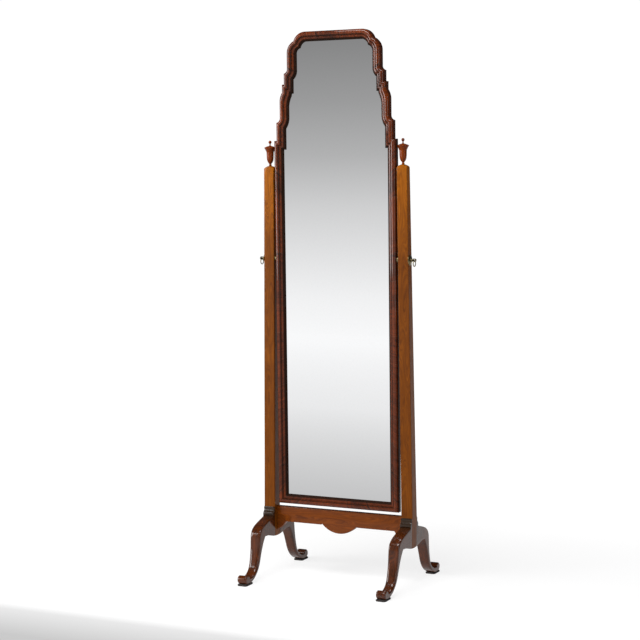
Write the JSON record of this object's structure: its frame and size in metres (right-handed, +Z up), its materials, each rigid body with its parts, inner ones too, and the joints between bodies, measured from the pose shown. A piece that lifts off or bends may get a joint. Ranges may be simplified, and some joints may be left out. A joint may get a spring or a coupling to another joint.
{
  "type": "cheval mirror",
  "caption": "Free-standing full-length mirror in a shaped moulded frame, pivoted between tapered posts on curved legs.",
  "frame": {"origin": "on the floor, at the centre of the stand's footprint", "axes": "+Z up, +X along the mirror's width to the viewer's right, -Y the way the looking-glass faces"},
  "size_m": [0.5322, 0.4292, 1.7],
  "materials": {
    "upright_wood": "polished golden-brown walnut",
    "finial_wood": "polished turned walnut",
    "leg_wood": "polished walnut",
    "stretcher_wood": "polished walnut",
    "frame_wood": "polished cross-banded walnut",
    "inner_wood": "plain unpolished board",
    "looking_glass": "silvered plate with a bevel",
    "brass": "lacquered brass, a little dulled",
    "steel": "plain wood screws",
    "pad": "dark felted pad"
  },
  "bodies": {
    "stand": {"left_upright": "upright_wood", "right_upright": "upright_wood", "left_finial": "finial_wood", "right_finial": "finial_wood", "front_left_leg": "leg_wood", "back_left_leg": "leg_wood", "front_right_leg": "leg_wood", "back_right_leg": "leg_wood", "front_left_pad": "pad", "back_left_pad": "pad", "front_right_pad": "pad", "back_right_pad": "pad", "stretcher": "stretcher_wood", "leg_dowels": "inner_wood", "left_rose": "brass", "right_rose": "brass", "rose_pins": "brass", "left_bush": "brass", "right_bush": "brass", "left_spacer": "brass", "right_spacer": "brass"},
    "left_screw": {"left_screw": "brass"},
    "right_screw": {"right_screw": "brass"},
    "left_ring": {"left_ring": "brass"},
    "right_ring": {"right_ring": "brass"},
    "mirror": {"left_stile": "frame_wood", "right_stile": "frame_wood", "bottom_rail": "frame_wood", "left_crest": "frame_wood", "right_crest": "frame_wood", "top_rail": "frame_wood", "mirror_glass": "looking_glass", "backboard": "inner_wood", "glazing_blocks": "inner_wood", "backboard_screws": "steel", "left_socket": "brass", "right_socket": "brass", "socket_screws": "steel"}
  },
  "joints": [
    {"name": "mirror_tilt", "type": "hinge", "parent": "stand", "child": "mirror", "pos_m": [0, 0, 1.002], "axis": [1, 0, 0], "continuous": true},
    {"name": "left_screw_turn", "type": "hinge", "parent": "stand", "child": "left_screw", "pos_m": [-0.2606, 0, 1.002], "axis": [-1, 0, 0], "range_deg": [0, 360]},
    {"name": "right_screw_turn", "type": "hinge", "parent": "stand", "child": "right_screw", "pos_m": [0.2606, 0, 1.002], "axis": [1, 0, 0], "range_deg": [0, 360]},
    {"name": "left_ring_swing", "type": "hinge", "parent": "left_screw", "child": "left_ring", "pos_m": [-0.2606, 0, 1.0014], "axis": [0, 1, 0], "range_deg": [-35, 215]},
    {"name": "right_ring_swing", "type": "hinge", "parent": "right_screw", "child": "right_ring", "pos_m": [0.2606, 0, 1.0014], "axis": [0, -1, 0], "range_deg": [-35, 215]}
  ]
}
